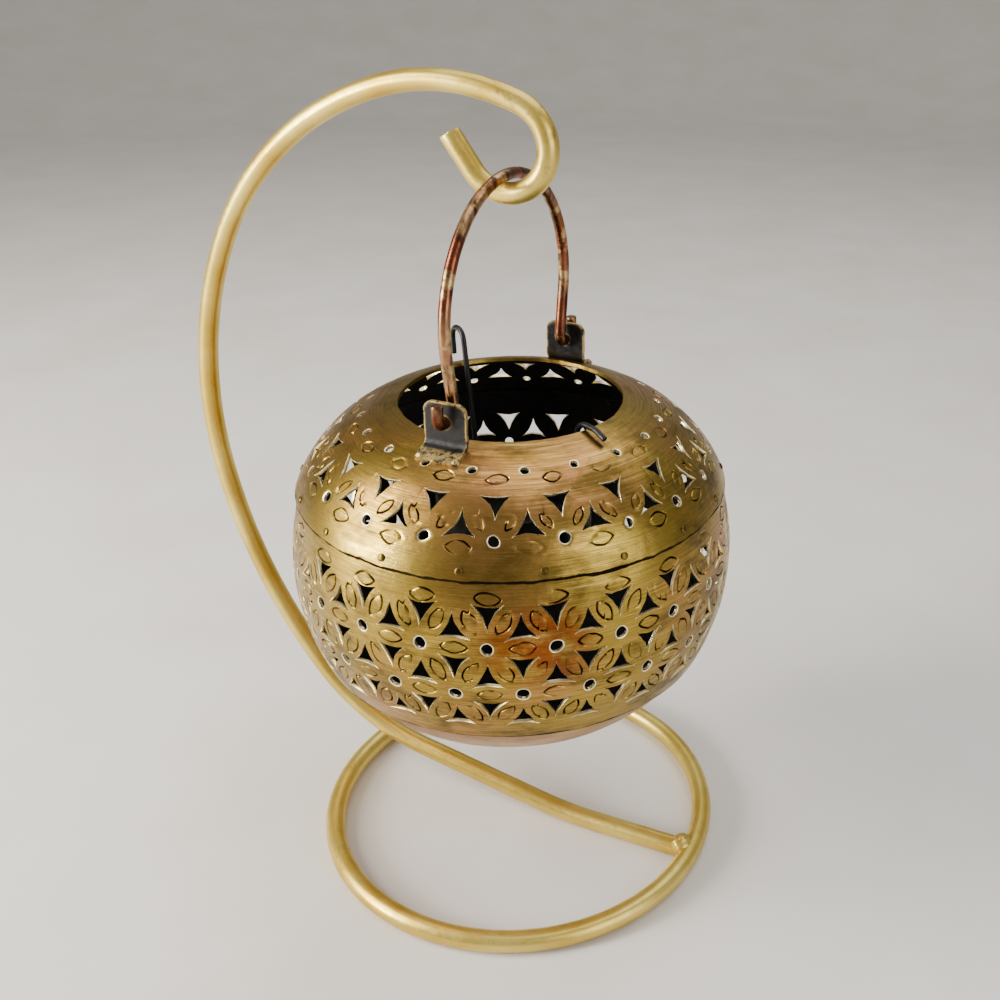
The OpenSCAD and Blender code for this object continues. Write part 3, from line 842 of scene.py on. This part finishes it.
def build_bail():
    """Bail wire: an arch, two legs leaning in, and feet turned out through the lugs and up.

    The half path is traced from the top of the arch and mirrored; the wire is one sweep.
    """
    wire = bpy.context.scene.lantern_wire.bail_radius / MM
    top = HOOK_LOW + 4.8
    half = trace(((33.5, -100), (13, 0), (2.6, 100), (2.6, 0), (2.6, 90), (3, 0)), 0.8)
    right = np.stack([np.zeros(len(half)), half[:, 0], top + half[:, 1]], -1)
    left = right * np.array([1, -1, 1])
    path = np.vstack([left[::-1], right[1:]])
    radius = wire - 0.02 * (1.3 + wobble(path, 6, 21) + 0.6 * wobble(path, 2, 22))
    p, q, t = sweep(path, (1, 0, 0), radius, 28, caps=(0.3, 0.3))
    bail = mesh_object("Bail", p, [q, t], "bail", [material_for("copper")])
    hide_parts("bail")


def build_dome():
    """Upper shell: an arc revolved from the seam to the mouth, pierced and chased."""
    count = bpy.context.scene.lantern_shell.dome_flowers
    obj = shell("DomeShell", DOME_ARC, (21.8, 79.83), DOME_REACH, count, 5 - 90 / count, dome_pattern, 40)
    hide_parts("dome_shell")


def build_bowl():
    """Lower shell: part of a sphere from the rim under the dome down to the dish."""
    count = bpy.context.scene.lantern_shell.bowl_flowers
    obj = shell("BowlShell", BOWL_ARC, (-25.66, 23.01), BOWL_ARC[2], count, -5.85 - 90 / count,
                bowl_pattern, 60)
    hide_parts("bowl_shell")


def revolve(profile, sides, seed, rough):
    """A closed profile of (radius, height) turned about Z; points on the axis become poles."""
    a = np.linspace(0, 2 * math.pi, sides, endpoint=False)
    profile = np.asarray(profile, float)
    rows = len(profile)
    p = np.stack([np.outer(profile[:, 0], np.cos(a)), np.outer(profile[:, 0], np.sin(a)),
                  np.outer(profile[:, 1], np.ones(sides))], -1).reshape(-1, 3)
    flat = np.stack([p[:, 0], p[:, 1], np.zeros(len(p))], -1)
    size = np.maximum(np.linalg.norm(flat, axis=1), 1e-6)
    p = p + flat / size[:, None] * (rough * (wobble(p, 16, seed) - 1.1))[:, None]
    i, j = np.arange(rows - 1)[:, None] * sides, np.arange(sides)[None]
    k = (j + 1) % sides
    q = np.stack([i + j, i + k, i + sides + k, i + sides + j], -1)
    return p, q


def pot(name, body, outer, inner, materials, seed, rough):
    """A round vessel: outer profile from the floor's middle up, over the rim, inner back down."""
    sides = 160
    profile = np.vstack([outer, inner])
    p, q = revolve(profile, sides, seed, rough)
    first, last = len(p), len(p) + 1
    p = np.vstack([p, (0, 0, outer[0][1]), (0, 0, inner[-1][1])])
    a, b = np.arange(sides), (np.arange(sides) + 1) % sides
    end = (len(profile) - 1) * sides
    split = len(outer)
    quads_out, quads_in = q[:split].reshape(-1, 4), q[split:].reshape(-1, 4)
    floors = [np.stack([np.full(sides, first), b, a], -1),
              np.stack([np.full(sides, last), end + a, end + b], -1)]
    return mesh_object(name, p, [quads_out, quads_in, *floors], body, materials,
                       [0, 1, 0, 1], angle=40.0)


def build_dish():
    """Bottom dish: flat floor, arc of radius 38 up to the lower seam, one sheet thick."""
    reach, rise, big = DISH_ARC

    def side(r, high):
        z = np.linspace(DISH_FLOOR + 0.3, high, 30)
        z = np.clip(z, rise - r + 0.02, None)
        return np.stack([reach + np.sqrt(r * r - (z - rise) ** 2), GLOBE_HEIGHT + z], -1)

    flat = [(r, GLOBE_HEIGHT + DISH_FLOOR) for r in (2.0, 8, 14, 19)]
    top = -24.2
    outer = np.vstack([flat, side(big, top - 0.12)])
    inner = np.vstack([side(big - 1, top)[::-1][:-2],
                       [(r, GLOBE_HEIGHT + DISH_FLOOR + 1) for r in (19, 14, 8, 2.0)]])
    rim = np.array([[outer[-1, 0] - 0.12, GLOBE_HEIGHT + top]])
    obj = pot("BottomDish", "lantern", np.vstack([outer, rim]), inner,
              [material_for("brass"), material_for("soot")], 81, 0.06)
    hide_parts("bottom_dish")


def build_lugs():
    """Two folded lugs: a foot lying on the dome, a bend, and an upright ear with the wire's hole.

    The plate is cut flat and rolled over the fold: below the bend it runs down the foot, on the
    bend it follows an arc, above it stands upright.
    """
    s = bpy.context.scene.lantern_wire
    half, corner, thick = s.lug_width / MM / 2, 2.5, 1.0
    foot, lug_y, top = 6.0, LUG_REACH, 5.2
    reach, rise, big = DOME_ARC
    slope = math.asin((lug_y + foot / 2 - reach) / big)
    dome_z = rise + math.sqrt(big ** 2 - (lug_y + foot / 2 - reach) ** 2)
    base = GLOBE_HEIGHT + dome_z + (foot + thick) / 2 * math.tan(slope) + 0.15 - PIN_HEIGHT
    bend = 1.6
    turn = math.pi / 2 - slope
    height = top - base - bend * math.tan(turn / 2)
    run = foot - bend * math.tan(turn / 2)

    def corner_arc(x, y, start):
        a = np.radians(np.linspace(start, start + 90, 9))
        return np.stack([x + corner * np.cos(a), y + corner * np.sin(a)], -1)

    fold = bend * turn
    outline = np.vstack([
        np.stack([np.full(14, half), np.linspace(-run - fold, height - corner, 14)], -1)[:-1],
        corner_arc(half - corner, height - corner, 0), corner_arc(corner - half, height - corner, 90),
        np.stack([np.full(14, -half), np.linspace(height - corner, -run - fold, 14)], -1)[1:]])
    foot_edge = np.stack([np.linspace(-half, half, 10)[1:-1], np.full(8, -run - fold)], -1)
    outline = np.vstack([outline, foot_edge])
    pin = np.array([0.0, height - top])
    hole = round_loop(pin[0], pin[1], 1.66, 28, 1.0)
    points = np.vstack([outline, hole])
    n = len(outline)
    edges = [(i, (i + 1) % n) for i in range(n)] + [(n + i, n + (i + 1) % 28) for i in range(28)]
    grid = [(x, y) for y in np.arange(-run - fold + 0.5, height - 0.4, 0.55)
            for x in np.arange(-half + 0.5, half, 0.55)
            if math.hypot(x - pin[0], y - pin[1]) > 2.0 and not (abs(x) > half - 1 and y > height - 1.1)]
    points = np.vstack([points, grid])
    out, _, tris, origin, _, inside = geometry.delaunay_2d_cdt(
        [Vector(p) for p in points], edges, [list(range(n, n + 28))], 0, 1e-5, True)
    flat = np.array([(v.x, v.y) for v in out])
    tris = np.array([t for t, f in zip(tris, inside) if not f], int)
    seat = {old: new for new, olds in enumerate(origin) for old in olds}
    rim = [seat[i] for i in range(n)]
    ring = [seat[i] for i in range(n, n + 28)]

    def fold_up(flat, depth):
        y = flat[:, 1]
        a = np.clip(-y / fold, 0, 1) * turn
        past = np.maximum(-y - fold, 0)
        r = bend + depth
        out_y = np.where(y > 0, -depth, bend - r * np.cos(a)) + past * math.cos(slope)
        out_y = np.where(y > 0, -depth, out_y)
        out_z = np.where(y > 0, y, -r * np.sin(a)) - past * math.sin(slope)
        x = flat[:, 0] + 0.10 * wobble(np.stack([flat[:, 0], y, y * 0], -1), 3, 31) * (np.abs(flat[:, 0]) > 2)
        return np.stack([x, out_y, out_z + (top - height)], -1)

    face, back = fold_up(flat, 0.0), fold_up(flat, thick - 0.04)
    both = np.vstack([face, back])
    both[:, 1] += lug_y + thick / 2 - 0.04
    both[:, 2] += PIN_HEIGHT + 0.03
    m = len(flat)
    near = kdtree.KDTree(n)
    for i, v in enumerate(rim):
        near.insert((flat[v][0], flat[v][1], 0), i)
    near.balance()
    rub = np.array([max(0.0, 1 - near.find((x, y, 0))[2] / 0.55) for x, y in flat])
    rub = np.maximum(rub, np.clip((-flat[:, 1] - fold - 0.6) / 1.6, 0, 0.85))
    rub[ring] = 0.35
    parts = [tris, tris[:, ::-1] + m, stitch(rim, np.array(rim) + m, True),
             stitch(ring, np.array(ring) + m, False)]
    for name, node, side in (("LugBack", "lug_back", 1), ("LugFront", "lug_front", -1)):
        spun = both * np.array([side, side, 1])
        obj = mesh_object(name, spun, parts, "lantern", [material_for("black")],
                          values={"cut": np.concatenate([rub, rub])}, angle=45)
        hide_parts(node)


def build_solder():
    """Four beads of brazing metal at the corners of the lugs' feet, lumpy half balls."""
    parts = []
    ball, q, t = unit_ball(14, 28)
    foot_y = LUG_REACH + 4.5
    reach, rise, big = DOME_ARC
    z = GLOBE_HEIGHT + rise + math.sqrt(big ** 2 - (foot_y - reach) ** 2) - 0.4
    for k, (x, y) in enumerate(((5, foot_y), (-5, foot_y), (5, -foot_y), (-5, -foot_y))):
        lump = 1.5 * (0.9 + 0.1 * wobble(ball * 1.5 + k * 10, 1.4, 90 + k))
        parts.append((ball * lump[:, None] + np.array([x, y, z]), q, t))
    p, q, t = merge_parts(parts)
    obj = mesh_object("LugSolder", p, [q, t], "lantern", [material_for("solder")])
    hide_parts("lug_solder")


def build_rivets():
    """Flush seam rivets: a shank through both sheets and a low hammered head."""
    reach, centre, big = DOME_ARC
    rise = 20.8 + 1.7 + 0.4
    slope = math.asin((rise - centre) / big)
    # (radius, height over the sheet): the head's crown and edge, then the shank.
    profile = [(0.30, 0.36), (0.62, 0.33), (0.85, 0.24), (1.0, 0.10), (0.68, -0.05), (0.68, -2.5),
               (0.3, -2.55)]
    parts = []
    sides = 20
    for k in range(18):
        az = math.radians((k + 0.25) * 20)
        out = Vector((math.cos(slope) * math.cos(az), math.cos(slope) * math.sin(az), math.sin(slope)))
        east = Vector((-math.sin(az), math.cos(az), 0))
        north = out.cross(east)
        wide = reach + big * math.cos(slope)
        at = np.array([wide * math.cos(az), wide * math.sin(az), GLOBE_HEIGHT + rise])
        a = np.linspace(0, 2 * math.pi, sides, endpoint=False)
        rows = [at + np.outer(np.cos(a) * r, east) + np.outer(np.sin(a) * r, north) + np.array(out) * h
                for r, h in profile]
        p = np.vstack(rows + [[at + np.array(out) * 0.36], [at + np.array(out) * -2.55]])
        p = p + np.array(out) * (0.03 * wobble(p, 1.2, k) - 0.03)[:, None]
        q, t = ball_faces(len(profile), sides)
        parts.append((p, q[:, ::-1], t[:, ::-1]))
    p, q, t = merge_parts(parts)
    obj = mesh_object("SeamRivets", p, [q, t], "lantern", [material_for("brass")],
                      values={"groove": np.full(len(p), 0.45), "cut": np.zeros(len(p))})
    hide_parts("seam_rivets")


def build_cup():
    """Burner cup: a plain round can with a rolled edge, standing inside the globe."""
    floor, wall, r, rim = CUP_RIM - 15, 0.8, 22.0, CUP_RIM
    outer = [(3, floor), (12, floor), (r - 0.6, floor), (r - 0.15, floor + 0.15), (r, floor + 0.6),
             (r, floor + 8), (r, rim - 0.25), (r - 0.15, rim)]
    inner = [(r - wall + 0.1, rim), (r - wall, rim - 0.2), (r - wall, floor + 8), (r - wall, floor + 1.2),
             (r - wall - 0.4, floor + wall), (12, floor + wall), (3, floor + wall)]
    obj = pot("BurnerCup", "cup", np.array(outer), np.array(inner),
              [material_for("black"), material_for("soot")], 95, 0.02)
    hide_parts("burner_cup")


def build_hooks():
    """The cup's two wire hooks: up the cup's side, over the mouth's edge and down outside."""
    wire = bpy.context.scene.lantern_wire.hanger_radius / MM
    lean = math.degrees(math.atan((30.75 - 3 - 22.65) / 28))
    parts = []
    for azimuth, arch, over, drop, turn, tail in ((-24, 0, 2.5, 5, 22, 3), (146, 9, 0.5, 3.4, 95, 5)):
        elbow = 3.4
        leg = (28 + 0.3 + wire + arch - elbow) / math.cos(math.radians(lean))
        line = trace(((10.5, 0), (elbow, lean), (leg, 0), (elbow, 90 - lean), (over, 0), (drop, turn),
                      (tail, 0)), 0.6)
        az = math.radians(azimuth)
        r = 22.65 + line[:, 1]
        path = np.stack([r * math.cos(az), r * math.sin(az), CUP_RIM - 10.5 + line[:, 0]], -1)
        radius = wire - 0.012 * (1 + wobble(path, 3, 97))
        parts.append(sweep(path, (-math.sin(az), math.cos(az), 0), radius, 20, caps=(0.2, 0.2)))
    p, q, t = merge_parts(parts)
    obj = mesh_object("CupHooks", p, [q, t], "cup", [material_for("black")],
                      values={"cut": np.zeros(len(p))})
    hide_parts("cup_hooks")


def build_stage():
    """Pale floor, soft lights and the camera.

    The camera looks along (sin yaw cos pitch, cos yaw cos pitch, -sin pitch), turned by a
    small roll and by the stand's own heading about Z.
    """
    scene = bpy.context.scene
    s = scene.lantern_stage
    n = 80
    g = np.linspace(-1.0, 1.0, n + 1) * 2600
    x, y = np.meshgrid(g, g)
    far = np.hypot(x, y).ravel()
    p = np.stack([x.ravel(), y.ravel(), 0.0006 * np.maximum(0, far - 1300) ** 2], -1)
    i, j = np.arange(n)[:, None] * (n + 1), np.arange(n)[None]
    q = np.stack([i + j, i + j + 1, i + n + 2 + j, i + n + 1 + j], -1).reshape(-1, 4)
    mesh = bpy.data.meshes.new("Floor")
    mesh.from_pydata((p * MM).tolist(), [], q.tolist())
    mesh.polygons.foreach_set("use_smooth", np.ones(len(q), bool))
    mesh.materials.append(material_for("floor"))
    floor = bpy.data.objects.new("Floor", mesh)
    scene.collection.objects.link(floor)

    def area(name, at, target, size, power, colour):
        data = bpy.data.lights.new(name, "AREA")
        data.shape, data.size, data.size_y = "RECTANGLE", size[0], size[1]
        data.energy, data.color = power, linear(colour)[:3]
        light = bpy.data.objects.new(name, data)
        light.location = at
        light.rotation_mode = "QUATERNION"
        light.rotation_quaternion = (Vector(target) - Vector(at)).to_track_quat("-Z", "Y")
        scene.collection.objects.link(light)

    area("KeyWindow", (-0.62, -0.40, 0.52), (0, 0, 0.10), (0.34, 0.6), s.key_power, "#FFF8EE")
    area("GlintPanel", (-0.53, -0.50, 0.24), (0, 0, 0.11), (0.15, 0.26), s.glint_power, "#FFFFFF")
    area("FillPanel", (0.7, -0.25, 0.35), (0, 0, 0.10), (0.5, 0.6), s.fill_power, "#F6F8FF")
    area("TopPanel", (0.05, 0.25, 0.9), (0, 0, 0.10), (0.9, 0.9), s.fill_power * 1.6, "#FFFFFF")

    world = bpy.data.worlds.new("SoftRoom")
    world.use_nodes = True
    world.node_tree.nodes["Background"].inputs["Color"].default_value = linear("#E8E6E2")
    world.node_tree.nodes["Background"].inputs["Strength"].default_value = 0.45
    scene.world = world

    yaw, pitch, roll, heading = 0.106, 0.395, 0.018, 0.493
    ahead = Vector((math.sin(yaw) * math.cos(pitch), math.cos(yaw) * math.cos(pitch), -math.sin(pitch)))
    right = Vector((math.cos(yaw), -math.sin(yaw), 0))
    up = right.cross(ahead)
    right, up = (right * math.cos(roll) + up * math.sin(roll), up * math.cos(roll) - right * math.sin(roll))
    basis = Matrix((right, up, -ahead)).transposed()
    data = bpy.data.cameras.new("Camera")
    data.lens, data.sensor_width = s.lens, 36.0
    data.shift_x, data.shift_y = -0.13, -0.09
    data.clip_start, data.clip_end = 0.01, 20
    camera = bpy.data.objects.new("Camera", data)
    camera.rotation_mode = "QUATERNION"
    camera.rotation_quaternion = (Matrix.Rotation(heading, 3, "Z") @ basis).to_quaternion()
    camera.location = (0.14515, -0.26985, 0.26488)
    scene.collection.objects.link(camera)
    scene.camera = camera


# ---------------------------------------------------------------- operators and panel


class LANTERN_OT_stand(bpy.types.Operator):
    """Builds the ring base, the hook rod and the weld"""
    bl_idname = "lantern.stand"
    bl_label = "Stand"

    def execute(self, context):
        build_stand()
        return {"FINISHED"}


class LANTERN_OT_bail(bpy.types.Operator):
    """Builds the wire bail"""
    bl_idname = "lantern.bail"
    bl_label = "Bail"

    def execute(self, context):
        build_bail()
        return {"FINISHED"}


class LANTERN_OT_dome(bpy.types.Operator):
    """Builds the pierced dome"""
    bl_idname = "lantern.dome"
    bl_label = "Dome"

    def execute(self, context):
        build_dome()
        return {"FINISHED"}


class LANTERN_OT_bowl(bpy.types.Operator):
    """Builds the pierced lower shell"""
    bl_idname = "lantern.bowl"
    bl_label = "Lower shell"

    def execute(self, context):
        build_bowl()
        return {"FINISHED"}


class LANTERN_OT_dish(bpy.types.Operator):
    """Builds the bottom dish"""
    bl_idname = "lantern.dish"
    bl_label = "Bottom dish"

    def execute(self, context):
        build_dish()
        return {"FINISHED"}


class LANTERN_OT_lugs(bpy.types.Operator):
    """Builds the lugs and their brazing beads"""
    bl_idname = "lantern.lugs"
    bl_label = "Lugs"

    def execute(self, context):
        build_lugs()
        build_solder()
        return {"FINISHED"}


class LANTERN_OT_rivets(bpy.types.Operator):
    """Builds the seam's rivets"""
    bl_idname = "lantern.rivets"
    bl_label = "Seam rivets"

    def execute(self, context):
        build_rivets()
        return {"FINISHED"}


class LANTERN_OT_cup(bpy.types.Operator):
    """Builds the burner cup and its wire hooks"""
    bl_idname = "lantern.cup"
    bl_label = "Burner cup"

    def execute(self, context):
        build_cup()
        build_hooks()
        return {"FINISHED"}


class LANTERN_OT_stage(bpy.types.Operator):
    """Sets the floor, the lights and the camera"""
    bl_idname = "lantern.stage"
    bl_label = "Stage"

    def execute(self, context):
        build_stage()
        return {"FINISHED"}


OPERATORS = (LANTERN_OT_stand, LANTERN_OT_bail, LANTERN_OT_dome, LANTERN_OT_bowl, LANTERN_OT_dish,
             LANTERN_OT_lugs, LANTERN_OT_rivets, LANTERN_OT_cup, LANTERN_OT_stage)
SETTINGS = {"lantern_stand": LanternStand, "lantern_shell": LanternShell, "lantern_wire": LanternWire,
            "lantern_stage": LanternStage}


class LANTERN_PT_panel(bpy.types.Panel):
    """Lists the pieces and their sizes"""
    bl_label = "Lantern"
    bl_idname = "LANTERN_PT_panel"
    bl_space_type = "VIEW_3D"
    bl_region_type = "UI"
    bl_category = "Lantern"

    def draw(self, context):
        for operator in OPERATORS:
            self.layout.operator(operator.bl_idname)
        for key, group in SETTINGS.items():
            for name in group.__annotations__:
                self.layout.prop(getattr(context.scene, key), name)


def register():
    """Registers the settings, the operators and the panel."""
    for cls in (*SETTINGS.values(), *OPERATORS, LANTERN_PT_panel):
        bpy.utils.register_class(cls)
    for key, group in SETTINGS.items():
        setattr(bpy.types.Scene, key, bpy.props.PointerProperty(type=group))


def unregister():
    """Takes back what register() added."""
    for key in SETTINGS:
        delattr(bpy.types.Scene, key)
    for cls in reversed((*SETTINGS.values(), *OPERATORS, LANTERN_PT_panel)):
        bpy.utils.unregister_class(cls)


def main():
    """Registers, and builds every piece."""
    register()
    for operator in OPERATORS:
        group, name = operator.bl_idname.split(".")
        if getattr(getattr(bpy.ops, group), name)() != {"FINISHED"}:
            raise RuntimeError(f"{operator.bl_label} did not finish")


if __name__ == "__main__":
    main()
